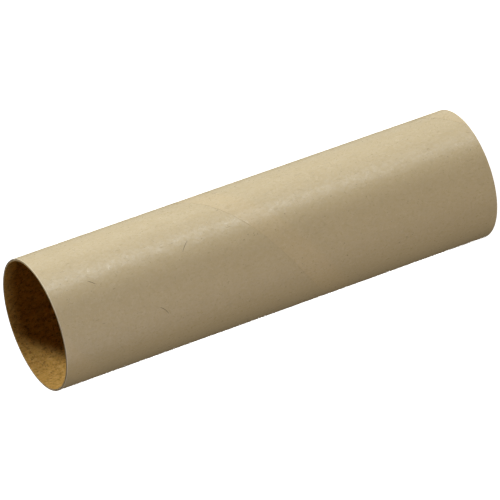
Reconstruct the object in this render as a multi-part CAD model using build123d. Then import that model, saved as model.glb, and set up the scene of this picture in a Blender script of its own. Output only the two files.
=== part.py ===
from build123d import *
import os

# Spiral-wound paper tube, in millimetres. Two strips of paper are wound on helices, one over the other, and glued.
# The tube stands on one cut end at Z = 0, with its axis on Z. Each ply is one strip, so each holds one helical
# butt seam from end to end, and the two seams are staggered so that neither lies over the other.

# Overall size
tube_length = 150.0
outer_diameter = 42.0

# Paper and glue
outer_paper = 0.36
inner_paper = 0.36
glue_film = 0.03

# Winding. The pitch is one turn's rise along the axis, and the seams turn right-handed. A seam's angle is where it
# passes half the tube's length, in degrees round the axis from +X.
winding_pitch = 86.2
outer_seam_angle = -98.0
seam_stagger = 150.0

# The gap between a strip's butted edges. The slit edges lean back, so it is wider on the ply's outside.
seam_gap_outside = 0.14
seam_gap_inside = 0.09

# How far a seam's cutter runs past the paper, through its thickness and past each end
cutter_overrun = 0.1
end_overrun = 4.0

outer_ply_outside = outer_diameter / 2
outer_ply_inside = outer_ply_outside - outer_paper
inner_ply_outside = outer_ply_inside - glue_film
inner_ply_inside = inner_ply_outside - inner_paper


def half_wall(outside, inside, turn):
    """Half of a ply round the axis, as if its paper had no seam: square-cut ends and true round faces."""
    middle = Pos((outside + inside) / 2, tube_length / 2)
    section = Plane.XZ * middle * Rectangle(outside - inside, tube_length)
    return Rot(0, 0, turn) * revolve(section, Axis.Z, 180)


def seam_section(paper):
    """The gap cut across, with X through the paper from its inside to its outside, run on past both faces."""
    reach = paper / 2 + cutter_overrun
    mean_gap = (seam_gap_outside + seam_gap_inside) / 2
    lean = (seam_gap_outside - seam_gap_inside) / paper
    narrow, wide = mean_gap - lean * reach, mean_gap + lean * reach
    corners = [(-reach, -narrow / 2), (reach, -wide / 2), (reach, wide / 2), (-reach, narrow / 2)]
    return Polygon(*corners, align=None)


def seam_cutter(outside, inside, seam_angle):
    """The gap's section swept along the seam's helix, past both ends of the tube."""
    helix_height = tube_length + 2 * end_overrun
    helix = Helix(winding_pitch, helix_height, (outside + inside) / 2)
    start = Plane(origin=helix @ 0, x_dir=(1, 0, 0), z_dir=helix % 0)
    bar = sweep(start * seam_section(outside - inside), path=helix, is_frenet=True)
    turn_to_middle = 360 * (helix_height / 2) / winding_pitch
    return Pos(0, 0, -end_overrun) * Rot(0, 0, seam_angle - turn_to_middle) * bar


def wound_ply(outside, inside, seam_angle):
    """One strip of paper on its helix. The slot between its butted edges is the seam, from end to end."""
    cutter = seam_cutter(outside, inside, seam_angle)
    near, far = (half_wall(outside, inside, turn) - cutter for turn in (0, 180))
    return near + far


def outer_ply():
    return wound_ply(outer_ply_outside, outer_ply_inside, outer_seam_angle)


def inner_ply():
    return wound_ply(inner_ply_outside, inner_ply_inside, outer_seam_angle + seam_stagger)


pieces = {
    "outer_ply": outer_ply(),
    "inner_ply": inner_ply(),
}

os.makedirs("parts", exist_ok=True)
for name, piece in pieces.items():
    export_step(piece, f"parts/{name}.step")
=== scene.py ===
import math
import random

import bpy
from mathutils import Matrix, Vector, noise


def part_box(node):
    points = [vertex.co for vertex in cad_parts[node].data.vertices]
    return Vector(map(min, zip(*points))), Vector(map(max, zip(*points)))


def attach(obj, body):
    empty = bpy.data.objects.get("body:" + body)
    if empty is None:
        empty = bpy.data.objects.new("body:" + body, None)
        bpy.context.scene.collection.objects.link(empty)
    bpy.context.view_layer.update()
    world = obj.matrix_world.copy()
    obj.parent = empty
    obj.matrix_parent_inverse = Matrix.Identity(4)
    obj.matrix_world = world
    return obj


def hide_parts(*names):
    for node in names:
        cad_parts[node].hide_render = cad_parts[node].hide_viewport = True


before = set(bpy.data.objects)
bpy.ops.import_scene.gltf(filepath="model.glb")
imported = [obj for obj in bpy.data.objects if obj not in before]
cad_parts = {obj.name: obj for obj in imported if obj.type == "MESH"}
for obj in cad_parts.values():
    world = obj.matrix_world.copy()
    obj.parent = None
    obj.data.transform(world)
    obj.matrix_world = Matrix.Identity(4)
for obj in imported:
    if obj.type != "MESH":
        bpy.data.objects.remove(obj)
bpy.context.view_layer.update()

# The looks of a short spiral-wound paper tube, in metres, standing on one cut end with its axis on Z.
# Each ply is one strip of paper on its helix, and is meshed as that strip, with its own seam and cut edges.

MM = 0.001

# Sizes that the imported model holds
outer_low, outer_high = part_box("outer_ply")
inner_low, inner_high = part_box("inner_ply")
tube_length = outer_high.z - outer_low.z
outer_radius = (outer_high.x - outer_low.x) / 2
inner_ply_radius = (inner_high.x - inner_low.x) / 2

# Paper and winding, as in the part's own source
PAPER = 0.36 * MM
PITCH = 86.2 * MM
OUTER_SEAM_ANGLE = math.radians(-98.0)
SEAM_STAGGER = math.radians(150.0)

# The seam is nearly closed, and opens a little more wherever its own slow noise is over a threshold
SEAM_GAP = 0.012 * MM
SEAM_OPENING = 0.05 * MM
SEAM_OPENING_SIZE = 6 * MM
SEAM_OPENING_THRESHOLD = 0.45

# The band below the outer seam: how far it reaches along the axis, and how softly it ends
BAND_REACH = 9.4 * MM
BAND_SOFTNESS = 1.8 * MM

# Mesh steps along the axis and round it, and the finer ones beside a cut edge. The gap between the two kinds
# is FIRST_STEP_SHARE of a step.
ROW_STEP = 0.9 * MM
COLUMN_STEP = 0.75 * MM
EDGE_STEPS = [0.0, 0.04 * MM, 0.10 * MM, 0.18 * MM, 0.34 * MM]
FIRST_STEP_SHARE = 0.6

# Relief of the paper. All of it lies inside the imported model's box. What reaches out from a seam is measured
# round the tube, and what reaches out from a rim is measured along the axis.
WAVE_DEPTH = 0.022 * MM
WAVE_SIZE = 16 * MM
GRAIN_DEPTH = 0.022 * MM
GRAIN_SIZE = 2.3 * MM
SEAM_ROUNDING = 0.012 * MM
SEAM_ROUNDING_REACH = 0.12 * MM
DIP_ABOVE_SEAM = 0.025 * MM
DIP_REACH = 1.6 * MM
OPEN_RIM_ROUNDING = 0.06 * MM
GLUED_RIM_ROUNDING = 0.03 * MM
RIM_ROUNDING_REACH = 0.22 * MM
RIM_RECESS = 0.035 * MM
RIM_GRAIN_SIZE = 0.5 * MM
RIM_RINGS = 3

# Seeds of the noise. Each ply has one, and what is added to it gives each pattern its own noise. A seed moves
# the noise by itself along X, by SEED_SHIFT_Y times itself along Y, and back by itself along Z.
OUTER_SEED = 3
INNER_SEED = 19
GRAIN_SEED = 31
INSIDE_SEED = 57
OPENING_SEED = 83
RING_SEED = 11
SEED_SHIFT_Y = 1.7

# The three kinds of face in a strip, which are also the places of their materials
OUTSIDE_FACE = 0
CUT_FACE = 1
INSIDE_FACE = 2

# The seed of the small fibres' places and sizes
FIBRE_SEED = 7
random.seed(FIBRE_SEED)


def placed(name, data):
    """A new object in the scene that holds the data."""
    made = bpy.data.objects.new(name, data)
    bpy.context.scene.collection.objects.link(made)
    return made


def helix_angle(z, seam_angle):
    """The angle at which a seam passes the height z, where seam_angle is at half the tube's length."""
    return seam_angle + math.tau * (z - tube_length / 2) / PITCH


def steps_between(length, step):
    """Positions from 0 to length: fine ones beside both ends, and about one every step between."""
    first = EDGE_STEPS[-1] + step * FIRST_STEP_SHARE
    last = length - EDGE_STEPS[-1] - step * FIRST_STEP_SHARE
    count = max(1, round((last - first) / step))
    middle = [first + (last - first) * i / count for i in range(count + 1)]
    return EDGE_STEPS + middle + [length - s for s in reversed(EDGE_STEPS)]


def wave(point, size, seed):
    """Smooth noise from 0 to 1, with features of that size."""
    return 0.5 + 0.5 * noise.noise(point / size + Vector((seed, SEED_SHIFT_Y * seed, -seed)))


def near(distance, reach):
    """1 at an edge, falling to 0 at reach from it."""
    return max(0.0, 1 - distance / reach) ** 2


def paper_relief(point, to_seam_above, to_seam_below, to_rim, rim_rounding, seed):
    """How far a face is pressed in from its true cylinder: slow waves, fine grain and pressed cut edges."""
    slow = WAVE_DEPTH * wave(point, WAVE_SIZE, seed)
    grain = GRAIN_DEPTH * wave(point, GRAIN_SIZE, seed + GRAIN_SEED)
    seam_edges = SEAM_ROUNDING * near(min(to_seam_above, to_seam_below), SEAM_ROUNDING_REACH)
    dip = DIP_ABOVE_SEAM * near(to_seam_below, DIP_REACH)
    return slow + grain + seam_edges + dip + rim_rounding * near(to_rim, RIM_ROUNDING_REACH)


class StripMesh:
    """A strip's mesh while it is built: points, their shares of its width, and faces with their kinds."""

    def __init__(self):
        self.points = []
        self.shares = []
        self.faces = []
        self.kinds = []

    def add_point(self, radius, angle, z, share):
        self.points.append((radius * math.cos(angle), radius * math.sin(angle), z))
        self.shares.append(share)
        return len(self.points) - 1

    def add_face(self, corners, kind, flipped=False):
        self.faces.append(tuple(corners[::-1] if flipped else corners))
        self.kinds.append(kind)

    def add_sheet(self, rows, kind, flipped=False):
        """Faces between each row of points and the next."""
        for low, high in zip(rows, rows[1:]):
            for k in range(len(low) - 1):
                self.add_face((low[k], low[k + 1], high[k + 1], high[k]), kind, flipped)

    def finished(self, name, materials):
        """The mesh as an object in the scene, with smooth faces and flat cuts."""
        mesh = bpy.data.meshes.new(name)
        mesh.from_pydata(self.points, [], self.faces)
        for material in materials:
            mesh.materials.append(material)
        mesh.polygons.foreach_set("material_index", self.kinds)
        mesh.polygons.foreach_set("use_smooth", [kind != CUT_FACE for kind in self.kinds])
        mesh.attributes.new("across", "FLOAT", "POINT").data.foreach_set("value", self.shares)
        mesh.validate()
        mesh.update()
        return placed(name, mesh)


def seam_opening(start, z, radius, seed):
    """How much wider than its least gap the seam is at the height z."""
    seam_point = Vector((math.cos(start) * radius, math.sin(start) * radius, z))
    slow = wave(seam_point, SEAM_OPENING_SIZE, seed + OPENING_SEED)
    return SEAM_OPENING * max(0.0, slow - SEAM_OPENING_THRESHOLD)


def lay_rows(strip, radius, seam_angle, seed, rim_roundings):
    """Rows of points on the strip's outside and inside, one of each at every height."""
    turn = math.tau - SEAM_GAP / radius
    across = steps_between(turn * radius, COLUMN_STEP)
    width = across[-1]
    outside_rows, inside_rows = [], []
    for z in steps_between(tube_length, ROW_STEP):
        start = helix_angle(z, seam_angle) + SEAM_GAP / radius / 2
        opening = seam_opening(start, z, radius, seed)
        to_rim = min(z, tube_length - z)
        outside_row, inside_row = [], []
        for a in across:
            share = a / width
            angle = start + (a + opening * (0.5 - share)) / radius
            point = Vector((math.cos(angle), math.sin(angle), 0)) * radius + Vector((0, 0, z))
            edges = (a, width - a, to_rim)
            outside = radius - paper_relief(point, *edges, rim_roundings[0], seed)
            inside = radius - PAPER + paper_relief(point, *edges, rim_roundings[1], seed + INSIDE_SEED)
            outside_row.append(strip.add_point(outside, angle, z, share))
            inside_row.append(strip.add_point(inside, angle, z, share))
        outside_rows.append(outside_row)
        inside_rows.append(inside_row)
    return outside_rows, inside_rows


def close_seam_edges(strip, outside_rows, inside_rows):
    """The strip's two long cut edges, which face each other across the seam."""
    pairs = list(zip(outside_rows, inside_rows))
    for (out_low, in_low), (out_high, in_high) in zip(pairs, pairs[1:]):
        strip.add_face((in_low[0], out_low[0], out_high[0], in_high[0]), CUT_FACE)
        strip.add_face((out_low[-1], in_low[-1], in_high[-1], out_high[-1]), CUT_FACE)


def close_end(strip, outside_row, inside_row, up, seed):
    """The cut end between the last rows of both faces, as rings that are slightly recessed."""
    rings = [outside_row]
    for m in range(1, RIM_RINGS + 1):
        ring = []
        for outer_point, inner_point in zip(outside_row, inside_row):
            outer_corner = Vector(strip.points[outer_point])
            inner_corner = Vector(strip.points[inner_point])
            spot = outer_corner.lerp(inner_corner, m / (RIM_RINGS + 1))
            recess = RIM_RECESS * wave(spot, RIM_GRAIN_SIZE, seed + RING_SEED * m)
            z = tube_length - recess if up else recess
            angle = math.atan2(spot.y, spot.x)
            ring.append(strip.add_point(spot.to_2d().length, angle, z, strip.shares[outer_point]))
        rings.append(ring)
    rings.append(inside_row)
    strip.add_sheet(rings, CUT_FACE, flipped=not up)
    # the rings are closed at the two seam edges
    for column, flipped in ((0, not up), (-1, up)):
        strip.add_face([ring[column] for ring in rings], CUT_FACE, flipped)


def wound_ply(name, radius, seam_angle, seed, rim_roundings, materials):
    """One strip of paper on its helix, as a closed mesh: two faces, two seam edges and two cut ends."""
    strip = StripMesh()
    outside_rows, inside_rows = lay_rows(strip, radius, seam_angle, seed, rim_roundings)
    strip.add_sheet(outside_rows, OUTSIDE_FACE)
    strip.add_sheet(inside_rows, INSIDE_FACE, flipped=True)
    close_seam_edges(strip, outside_rows, inside_rows)
    close_end(strip, outside_rows[0], inside_rows[0], False, seed)
    close_end(strip, outside_rows[-1], inside_rows[-1], True, seed)
    return strip.finished(name, materials)


# How the strokes of a fibre net are bent, and how a second, finer noise breaks them up
STROKE_DISTORTION = 0.6
BREAKS_FINER = 1.7
BREAKS_OFFSET = 40
BREAKS_SOFTNESS = 0.08

# An offset moves a texture's noise by itself along X, by this many times itself along Y, and back along Z
OFFSET_SHIFT_Y = 2.3

# Places of a mix node's two colours and of its mixed colour
FIRST_COLOUR = 6
SECOND_COLOUR = 7
MIXED_COLOUR = 2


class Nodes:
    """A short way to build a material's node tree."""

    def __init__(self, name):
        self.material = bpy.data.materials.new(name)
        self.material.use_nodes = True
        self.tree = self.material.node_tree
        self.shader = self.tree.nodes["Principled BSDF"]
        self.place = self.node("ShaderNodeTexCoord").outputs["Object"]

    def node(self, kind, **settings):
        made = self.tree.nodes.new(kind)
        for key, value in settings.items():
            setattr(made, key, value)
        return made

    def feed(self, socket, value):
        if isinstance(value, bpy.types.NodeSocket):
            self.tree.links.new(value, socket)
        else:
            socket.default_value = value

    def surface(self, socket_name, value):
        """Gives the shader a value or a colour, which is a socket where it varies over the surface."""
        self.feed(self.shader.inputs[socket_name], value)

    def math(self, operation, *values):
        made = self.node("ShaderNodeMath", operation=operation)
        for socket, value in zip(made.inputs, values):
            self.feed(socket, value)
        return made.outputs[0]

    def coordinates(self):
        """The object's own X, Y and Z."""
        apart = self.node("ShaderNodeSeparateXYZ")
        self.feed(apart.inputs[0], self.place)
        return apart.outputs["X"], apart.outputs["Y"], apart.outputs["Z"]

    def from_rim(self):
        """The distance along the axis from the nearer cut end, in metres."""
        z = self.coordinates()[2]
        return self.math("MINIMUM", z, self.math("SUBTRACT", tube_length, z))

    def noise(self, around, along, detail=3.0, roughness=0.55, offset=0.0, distortion=0.0):
        """Noise from 0 to 1, with that many waves a metre across the axis and along it."""
        stretched = self.node("ShaderNodeVectorMath", operation="MULTIPLY_ADD")
        self.feed(stretched.inputs[0], self.place)
        stretched.inputs[1].default_value = (around, around, along)
        stretched.inputs[2].default_value = (offset, OFFSET_SHIFT_Y * offset, -offset)
        made = self.node("ShaderNodeTexNoise")
        self.feed(made.inputs["Vector"], stretched.outputs[0])
        made.inputs["Scale"].default_value = 1.0
        made.inputs["Detail"].default_value = detail
        made.inputs["Roughness"].default_value = roughness
        made.inputs["Distortion"].default_value = distortion
        return made.outputs["Fac"]

    def fibre_net(self, around, along, width, cover, offset):
        """Thin curved strokes like pressed fibres: a noise's middle lines, broken up by a second noise."""
        lines = self.noise(around, along, detail=1.0, offset=offset, distortion=STROKE_DISTORTION)
        off_line = self.math("ABSOLUTE", self.math("SUBTRACT", lines, 0.5))
        stroke = self.ramp(off_line, low=width, high=0.0)
        finer = (BREAKS_FINER * around, BREAKS_FINER * along)
        breaks = self.noise(*finer, detail=1.0, offset=offset + BREAKS_OFFSET)
        return self.math("MULTIPLY", stroke, self.ramp(breaks, low=cover, high=cover + BREAKS_SOFTNESS))

    def ramp(self, value, low, high):
        """0 where value is at low and 1 where it is at high."""
        made = self.node("ShaderNodeMapRange", interpolation_type="SMOOTHSTEP")
        self.feed(made.inputs["Value"], value)
        made.inputs["From Min"].default_value = low
        made.inputs["From Max"].default_value = high
        return made.outputs["Result"]

    def mix(self, share, first, second):
        made = self.node("ShaderNodeMix", data_type="RGBA")
        self.feed(made.inputs["Factor"], share)
        self.feed(made.inputs[FIRST_COLOUR], first)
        self.feed(made.inputs[SECOND_COLOUR], second)
        return made.outputs[MIXED_COLOUR]

    def tinted(self, base, tint, share, where):
        """The base colour, with that share of the tint wherever where is 1."""
        return self.mix(self.math("MULTIPLY", where, share), base, tint)

    def bump(self, height, depth, normal=None):
        made = self.node("ShaderNodeBump")
        made.inputs["Strength"].default_value = 1.0
        made.inputs["Distance"].default_value = depth
        self.feed(made.inputs["Height"], height)
        if normal is not None:
            self.feed(made.inputs["Normal"], normal)
        return made.outputs["Normal"]


def colour(red, green, blue):
    return (red, green, blue, 1.0)


# Colours in linear light
BEIGE = colour(0.538, 0.421, 0.245)
BEIGE_BAND = colour(0.566, 0.436, 0.249)
BEIGE_DARK = colour(0.430, 0.330, 0.185)
BEIGE_LIGHT = colour(0.640, 0.520, 0.330)
# The colour of the painted highlight along the rims
BEIGE_PAINTED_HIGHLIGHT = colour(0.840, 0.730, 0.550)
FLECK = colour(0.200, 0.130, 0.065)
KRAFT = colour(0.600, 0.335, 0.076)
KRAFT_DARK = colour(0.250, 0.125, 0.026)
KRAFT_LIGHT = colour(0.720, 0.450, 0.150)
OUTER_CUT_LIGHT = colour(0.640, 0.490, 0.310)
OUTER_CUT_DARK = colour(0.250, 0.165, 0.082)
INNER_CUT_LIGHT = colour(0.880, 0.670, 0.400)
INNER_CUT_DARK = colour(0.500, 0.350, 0.175)
DARK_FIBRE = colour(0.070, 0.045, 0.025)
BROWN_FIBRE = colour(0.300, 0.210, 0.110)
PALE = colour(0.8, 0.8, 0.8)
WHITE = colour(1, 1, 1)

# The outer face's sheen: its plain roughness, how far the mottle raises it and the shiny grain lowers it, its
# least reflection, and how far that varies
BEIGE_ROUGHNESS = 0.31
MOTTLE_DULLS = 0.08
GRAIN_SHINES = -0.12
BEIGE_SPECULAR = 0.29
BEIGE_SPECULAR_VARIES = 0.44
BEIGE_IOR = 1.5

# A painted highlight along the rim, standing in for the light that the rounded cut edge catches, by its
# distance from the cut end
RIM_HIGHLIGHT_END = 0.34 * MM
RIM_HIGHLIGHT_FULL = 0.08 * MM

# The inner face's sheen
KRAFT_ROUGHNESS = 0.65
KRAFT_ROUGHNESS_VARIES = 0.15
KRAFT_IOR = 1.35
KRAFT_SPECULAR = 0.25

# The cut edge: the paper's layers, how ragged they are, and how much the layers and the torn fibre darken it
LAYER_THICKNESS = 0.12 * MM
LAYER_RAGGEDNESS = 0.10 * MM
LAYER_DARKENS = 0.45
TORN_FIBRE_DARKENS = 0.7
CUT_DARKENING = 0.8
CUT_ROUGHNESS = 0.8

# A loose fibre's sheen
LOOSE_FIBRE_ROUGHNESS = 0.6


def beige_paper():
    """The smooth, pressed outer face: soft clouds, fine fibres, a few specks, the band below the seam, and a
    painted highlight along both rims.
    """
    n = Nodes("beige_paper")
    clouds = n.noise(around=90, along=70, detail=4)
    mottle = n.noise(around=420, along=300, detail=4, roughness=0.6)
    fine = n.noise(around=1450, along=1150, detail=3, roughness=0.7, offset=61)
    grain = n.noise(around=2600, along=1900, detail=2)
    gloss = n.noise(around=1100, along=850, detail=3, roughness=0.75, offset=71)
    specks = n.noise(around=1500, along=1100, detail=1, offset=5)
    long_dark = n.fibre_net(around=300, along=170, width=0.022, cover=0.52, offset=3)
    short_dark = n.fibre_net(around=620, along=480, width=0.030, cover=0.54, offset=9)
    pale = n.fibre_net(around=430, along=330, width=0.030, cover=0.50, offset=21)

    across = n.node("ShaderNodeAttribute", attribute_name="across").outputs["Fac"]
    below_seam = n.math("MULTIPLY", across, PITCH)
    in_band = n.ramp(below_seam, low=BAND_REACH + BAND_SOFTNESS, high=BAND_REACH - BAND_SOFTNESS)
    # Painted highlight: a pale band along both cut ends, where the rounded edge would catch the light
    painted_rim_highlight = n.ramp(n.from_rim(), low=RIM_HIGHLIGHT_END, high=RIM_HIGHLIGHT_FULL)

    base = n.mix(in_band, BEIGE, BEIGE_BAND)
    base = n.tinted(base, BEIGE_DARK, share=0.10, where=n.ramp(clouds, low=0.35, high=0.75))
    base = n.tinted(base, BEIGE_DARK, share=0.19, where=n.ramp(mottle, low=0.50, high=0.78))
    base = n.tinted(base, BEIGE_LIGHT, share=0.19, where=n.ramp(mottle, low=0.50, high=0.24))
    base = n.tinted(base, BEIGE_DARK, share=0.14, where=n.ramp(fine, low=0.52, high=0.72))
    base = n.tinted(base, BEIGE_LIGHT, share=0.14, where=n.ramp(fine, low=0.48, high=0.28))
    base = n.tinted(base, FLECK, share=0.12, where=long_dark)
    base = n.tinted(base, FLECK, share=0.12, where=short_dark)
    base = n.tinted(base, BEIGE_LIGHT, share=0.30, where=pale)
    base = n.tinted(base, FLECK, share=0.55, where=n.ramp(specks, low=0.72, high=0.80))
    n.surface("Base Color", n.tinted(base, BEIGE_PAINTED_HIGHLIGHT, share=0.60, where=painted_rim_highlight))

    dull = n.math("MULTIPLY_ADD", n.ramp(mottle, low=0.3, high=0.7), MOTTLE_DULLS, BEIGE_ROUGHNESS)
    shiny_grain = n.ramp(fine, low=0.50, high=0.75)
    n.surface("Roughness", n.math("MULTIPLY_ADD", shiny_grain, GRAIN_SHINES, dull))
    glossy = n.ramp(gloss, low=0.36, high=0.64)
    n.surface("Specular IOR Level", n.math("MULTIPLY_ADD", glossy, BEIGE_SPECULAR_VARIES, BEIGE_SPECULAR))
    n.surface("IOR", BEIGE_IOR)

    relief = n.bump(mottle, depth=0.018 * MM)
    relief = n.bump(fine, depth=0.022 * MM, normal=relief)
    relief = n.bump(grain, depth=0.030 * MM, normal=relief)
    n.surface("Normal", n.bump(n.math("ADD", long_dark, pale), depth=0.010 * MM, normal=relief))
    return n.material


def kraft_paper():
    """The unbleached inner face: golden brown, coarse, with dark and pale fibre clumps."""
    n = Nodes("kraft_paper")
    clouds = n.noise(around=160, along=120, detail=3)
    clumps = n.noise(around=1150, along=900, detail=3, roughness=0.65)
    golden = n.noise(around=1800, along=1400, detail=2, offset=33)
    specks = n.noise(around=1300, along=1000, detail=1, offset=7)
    dark_net = n.fibre_net(around=520, along=330, width=0.035, cover=0.46, offset=13)
    pale_net = n.fibre_net(around=460, along=300, width=0.035, cover=0.46, offset=27)

    base = n.tinted(KRAFT, KRAFT_DARK, share=0.22, where=n.ramp(clouds, low=0.35, high=0.7))
    base = n.tinted(base, KRAFT_DARK, share=0.70, where=n.ramp(clumps, low=0.50, high=0.68))
    base = n.tinted(base, KRAFT_LIGHT, share=0.70, where=n.ramp(clumps, low=0.47, high=0.30))
    base = n.tinted(base, KRAFT_DARK, share=0.55, where=dark_net)
    base = n.tinted(base, KRAFT_LIGHT, share=0.50, where=pale_net)
    base = n.tinted(base, KRAFT_LIGHT, share=0.50, where=n.ramp(golden, low=0.56, high=0.70))
    base = n.tinted(base, KRAFT_DARK, share=0.80, where=n.ramp(specks, low=0.66, high=0.74))
    n.surface("Base Color", base)

    n.surface("Roughness", n.math("MULTIPLY_ADD", clumps, KRAFT_ROUGHNESS_VARIES, KRAFT_ROUGHNESS))
    n.surface("Specular IOR Level", KRAFT_SPECULAR)
    n.surface("IOR", KRAFT_IOR)
    relief = n.bump(clumps, depth=0.10 * MM)
    n.surface("Normal", n.bump(pale_net, depth=0.03 * MM, normal=relief))
    return n.material


def cut_paper(name, tan, dark, face_radius):
    """The knife-cut edge of a paper: thin layers, torn fibre between them, and a darker inner side."""
    n = Nodes(name)
    x, y, _ = n.coordinates()
    radius = n.math("SQRT", n.math("ADD", n.math("MULTIPLY", x, x), n.math("MULTIPLY", y, y)))
    ragged = n.noise(around=700, along=700, detail=3)
    torn = n.noise(around=2500, along=2500, detail=3)

    layer_place = n.math("MULTIPLY_ADD", ragged, LAYER_RAGGEDNESS, radius)
    layer_wave = n.math("SINE", n.math("MULTIPLY", layer_place, math.tau / LAYER_THICKNESS))
    layers = n.math("MULTIPLY_ADD", layer_wave, 0.5, 0.5)
    darker_layers = n.math("MULTIPLY", layers, LAYER_DARKENS)
    darker_fibre = n.math("MULTIPLY", torn, TORN_FIBRE_DARKENS)
    cut = n.tinted(tan, dark, share=CUT_DARKENING, where=n.math("ADD", darker_layers, darker_fibre))

    depth = n.math("MULTIPLY", n.math("SUBTRACT", face_radius, radius), 1 / PAPER)
    inner_side = n.ramp(depth, low=0.45, high=0.90)
    n.surface("Base Color", n.tinted(cut, dark, share=0.65, where=inner_side))
    n.surface("Roughness", CUT_ROUGHNESS)
    n.surface("Normal", n.bump(torn, depth=0.03 * MM))
    return n.material


def fibre_material(name, tint):
    """A loose fibre, which pales here and there to the paper's own darker tone."""
    n = Nodes(name)
    along_it = n.noise(around=900, along=900, detail=2)
    n.surface("Base Color", n.tinted(tint, BEIGE_DARK, share=0.2, where=n.ramp(along_it, low=0.3, high=0.7)))
    n.surface("Roughness", LOOSE_FIBRE_ROUGHNESS)
    return n.material


# Loose fibres pressed into the outer face. Each long one is its height, its angle from the front, its length,
# its lean from the axis, its bend and its thickness, in millimetres and degrees.
LONG_FIBRES = [
    (116.3, -25.0, 3.8, 50, 0.30, 0.16),
    (135.7, 17.5, 2.6, 42, 0.10, 0.15),
    (103.4, 20.5, 4.2, -44, 0.12, 0.13),
    (32.4, -37.0, 1.2, 20, 0.05, 0.13),
    (77.1, -57.0, 1.0, -15, 0.05, 0.13),
]

# The angle of the side that faces the camera
FRONT = math.radians(-90.0)

# The small fibres are scattered. Their length, bend and thickness lie between two values in millimetres.
SMALL_FIBRES = 420
SMALL_FIBRE_MARGIN = 1 * MM
SMALL_FIBRE_LENGTH = (0.4, 1.6)
SMALL_FIBRE_LEAN = math.radians(45)
SMALL_FIBRE_BEND = (-0.08, 0.08)
SMALL_FIBRE_THICKNESS = (0.03, 0.07)

# A fibre's own form: how far its crest lies under the tube's radius and its sides under its crest, the points
# along it and across it, the share of its width that doesn't taper, and how near it may come to a cut end
FIBRE_TOP = 0.003 * MM
FIBRE_ROUND = 0.022 * MM
FIBRE_POINTS = 7
FIBRE_SIDES = (-1, 0, 1)
FIBRE_UNTAPERED = 0.25
FIBRE_END_MARGIN = 0.3 * MM


def fibre_path(height, angle, length, lean, bend):
    """Points of a slightly curved fibre on the outer face, each as its angle and height."""
    points = []
    for i in range(FIBRE_POINTS):
        t = i / (FIBRE_POINTS - 1) - 0.5
        along = t * length
        side = bend * (1 - 4 * t * t)
        rise = along * math.cos(lean) - side * math.sin(lean)
        sweep = along * math.sin(lean) + side * math.cos(lean)
        z = min(max(height + rise, FIBRE_END_MARGIN), tube_length - FIBRE_END_MARGIN)
        points.append((angle + sweep / outer_radius, z))
    return points


def add_fibre(vertices, faces, path, thickness):
    """A ribbon along the path, highest along its middle line and still inside the tube's own radius."""
    first = len(vertices)
    crest = outer_radius - FIBRE_TOP
    for i, (turn, z) in enumerate(path):
        before, after = path[max(i - 1, 0)], path[min(i + 1, len(path) - 1)]
        direction = Vector(((after[0] - before[0]) * outer_radius, after[1] - before[1])).normalized()
        taper = FIBRE_UNTAPERED + (1 - FIBRE_UNTAPERED) * math.sin(math.pi * (i + 0.5) / len(path))
        half = thickness / 2 * taper
        for side in FIBRE_SIDES:
            side_turn = turn - side * half * direction.y / outer_radius
            side_z = z + side * half * direction.x
            r = crest - abs(side) * FIBRE_ROUND
            vertices.append((r * math.cos(side_turn), r * math.sin(side_turn), side_z))
    for i in range(len(path) - 1):
        for k in range(len(FIBRE_SIDES) - 1):
            here = first + len(FIBRE_SIDES) * i + k
            further = here + len(FIBRE_SIDES)
            faces.append((here, further, further + 1, here + 1))


def fibres(name, descriptions, material):
    """One object that holds a ribbon for each description."""
    vertices, faces = [], []
    for height, angle, length, lean, bend, thickness in descriptions:
        add_fibre(vertices, faces, fibre_path(height, angle, length, lean, bend), thickness)
    mesh = bpy.data.meshes.new(name)
    mesh.from_pydata(vertices, [], faces)
    mesh.materials.append(material)
    mesh.update()
    return placed(name, mesh)


def long_fibres():
    rows = [
        (h * MM, FRONT + math.radians(a), l * MM, math.radians(lean), b * MM, t * MM)
        for h, a, l, lean, b, t in LONG_FIBRES
    ]
    return fibres("long_fibres", rows, fibre_material("dark_fibre", DARK_FIBRE))


def small_fibres():
    rows = []
    for _ in range(SMALL_FIBRES):
        rows.append((
            random.uniform(SMALL_FIBRE_MARGIN, tube_length - SMALL_FIBRE_MARGIN),
            random.uniform(0, math.tau),
            random.uniform(*SMALL_FIBRE_LENGTH) * MM,
            random.gauss(0, SMALL_FIBRE_LEAN),
            random.uniform(*SMALL_FIBRE_BEND) * MM,
            random.uniform(*SMALL_FIBRE_THICKNESS) * MM,
        ))
    return fibres("small_fibres", rows, fibre_material("brown_fibre", BROWN_FIBRE))


# Camera: the photograph's own view of the standing tube, turned about its line of sight. Lengths are in
# metres, apart from the sensor's. The nearest and farthest distances that it shows come last.
IMAGE_SIDE = 500
FOCAL_PIXELS = 5187.7
SENSOR = 36.0
AIM = Vector((-0.0003, 0.0, 0.07594))
CAMERA_DISTANCE = 1.588
CAMERA_ELEVATION = math.radians(22.185)
CAMERA_ROLL = math.radians(-109.49)
CAMERA_SEES_FROM = 0.05
CAMERA_SEES_TO = 40.0


def make_camera():
    data = bpy.data.cameras.new("camera")
    data.sensor_width = SENSOR
    data.lens = SENSOR * FOCAL_PIXELS / IMAGE_SIDE
    data.clip_start = CAMERA_SEES_FROM
    data.clip_end = CAMERA_SEES_TO
    camera = placed("camera", data)
    tilt = Matrix.Rotation(math.pi / 2 - CAMERA_ELEVATION, 4, "X")
    roll = Matrix.Rotation(CAMERA_ROLL, 4, "Z")
    back = Vector((0, -math.cos(CAMERA_ELEVATION), math.sin(CAMERA_ELEVATION)))
    camera.matrix_world = Matrix.Translation(AIM + back * CAMERA_DISTANCE) @ tilt @ roll
    bpy.context.scene.camera = camera


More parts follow.
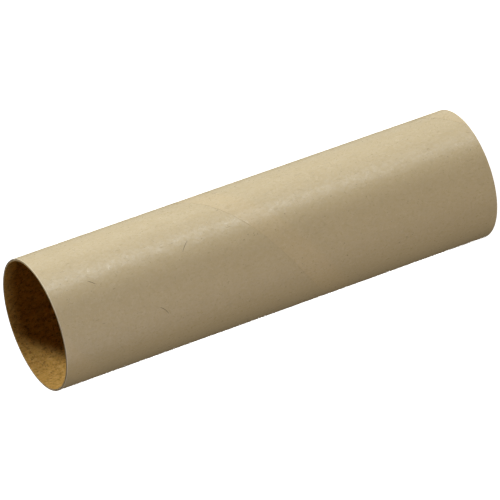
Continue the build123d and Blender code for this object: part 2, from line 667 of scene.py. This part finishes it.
# Soft boxes round the tube, each by where its middle stands: degrees round the tube from its front to +X, and
# degrees up from the tube's middle. Then come its spread round and up, also in degrees, its brightness and
# its tint.
LIGHT_DISTANCE = 1.2
NEUTRAL = (1.0, 1.0, 1.0)
DAYLIGHT = (0.965, 1.0, 1.0)
COOL = (0.945, 0.990, 1.0)
WARM = (1.0, 0.96, 0.91)
SOFT_BOXES = {
    "key": (90.0, -14.0, 62.0, 24.0, 1.56, COOL),
    "key_edge": (52.0, -14.0, 14.0, 24.0, 7.25, COOL),
    "key_low": (83.0, -38.0, 76.0, 24.0, 1.05, COOL),
    "key_inside": (92.0, 28.0, 12.0, 13.0, 59.0, DAYLIGHT),
    "back": (140.0, -26.0, 12.0, 48.0, 1.25, COOL),
    "rear": (180.0, -20.0, 20.0, 36.0, 8.5, NEUTRAL),
    "fill": (-50.0, -3.5, 74.0, 27.0, 2.33, WARM),
    "front": (11.0, -3.5, 46.0, 27.0, 1.66, WARM),
}
WORLD_STRENGTH = 0.004


def soft_box(name, around, up, spread_around, spread_up, brightness, tint):
    """A rectangular lamp that faces the tube's middle and fills those angles as seen from there."""
    around, up = math.radians(around), math.radians(up)
    direction = Vector((math.sin(around) * math.cos(up), -math.cos(around) * math.cos(up), math.sin(up)))
    data = bpy.data.lights.new(name, "AREA")
    data.shape = "RECTANGLE"
    data.color = tint
    data.size = 2 * LIGHT_DISTANCE * math.cos(up) * math.tan(math.radians(spread_around / 2))
    data.size_y = 2 * LIGHT_DISTANCE * math.tan(math.radians(spread_up / 2))
    data.energy = brightness * math.pi * data.size * data.size_y
    light = placed(name, data)
    light.location = Vector((0, 0, tube_length / 2)) + direction * LIGHT_DISTANCE
    light.rotation_euler = direction.to_track_quat("Z", "Y").to_euler()
    light.visible_camera = False


def make_lights():
    for name, setting in SOFT_BOXES.items():
        soft_box(name, *setting)


def make_world():
    """A nearly dark surround, so that the soft boxes light the tube alone."""
    world = bpy.data.worlds.new("studio")
    bpy.context.scene.world = world
    world.use_nodes = True
    background = world.node_tree.nodes["Background"]
    background.inputs["Color"].default_value = WHITE
    background.inputs["Strength"].default_value = WORLD_STRENGTH


# The stage: a floor just under the tube and a dome round it, which both glow white
FLOOR_SIDE = 8
FLOOR_HEIGHT = -0.2 * MM
DOME_RADIUS = 5
DOME_SEGMENTS = 48
DOME_RINGS = 24
FLOOR_ROUGHNESS = 0.9
DOME_ROUGHNESS = 0.5
STAGE_GLOW = 1.1


def shown_to_camera_alone(piece):
    """Keeps a glowing piece of the stage from lighting or shading the tube."""
    piece.visible_diffuse = False
    piece.visible_glossy = False
    piece.visible_transmission = False
    piece.visible_volume_scatter = False
    piece.visible_shadow = False


def stage_material(name, roughness):
    n = Nodes(name)
    n.surface("Base Color", PALE)
    n.surface("Roughness", roughness)
    n.surface("Emission Color", WHITE)
    n.surface("Emission Strength", STAGE_GLOW)
    return n.material


def make_stage():
    """A white floor under the tube and a white dome round it."""
    bpy.ops.mesh.primitive_plane_add(size=FLOOR_SIDE, location=(0, 0, FLOOR_HEIGHT))
    floor = bpy.context.object
    bpy.ops.mesh.primitive_uv_sphere_add(segments=DOME_SEGMENTS, ring_count=DOME_RINGS, radius=DOME_RADIUS)
    dome = bpy.context.object
    for piece, name, roughness in ((floor, "floor", FLOOR_ROUGHNESS), (dome, "backdrop", DOME_ROUGHNESS)):
        piece.name = name
        piece.data.materials.append(stage_material(f"pale_{name}", roughness))
        shown_to_camera_alone(piece)


make_camera()
make_lights()
make_stage()
make_world()

beige, kraft = beige_paper(), kraft_paper()
outer_cut = cut_paper("beige_cut", OUTER_CUT_LIGHT, OUTER_CUT_DARK, outer_radius)
inner_cut = cut_paper("kraft_cut", INNER_CUT_LIGHT, INNER_CUT_DARK, inner_ply_radius)
outer_materials = (beige, outer_cut, kraft)
inner_materials = (kraft, inner_cut, kraft)

# How far each ply's rim is rounded outside and inside: more on its open face, and less on its glued one
outer_rims = (OPEN_RIM_ROUNDING, GLUED_RIM_ROUNDING)
inner_rims = (GLUED_RIM_ROUNDING, OPEN_RIM_ROUNDING)

outer = wound_ply("outer_paper", outer_radius, OUTER_SEAM_ANGLE, OUTER_SEED, outer_rims, outer_materials)
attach(outer, "root")
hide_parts("outer_ply")

inner_seam = OUTER_SEAM_ANGLE + SEAM_STAGGER
inner = wound_ply("inner_paper", inner_ply_radius, inner_seam, INNER_SEED, inner_rims, inner_materials)
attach(inner, "root")
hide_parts("inner_ply")

for made in (long_fibres(), small_fibres()):
    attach(made, "root")

bpy.context.scene.view_settings.view_transform = "Standard"
bpy.context.scene.view_settings.look = "None"
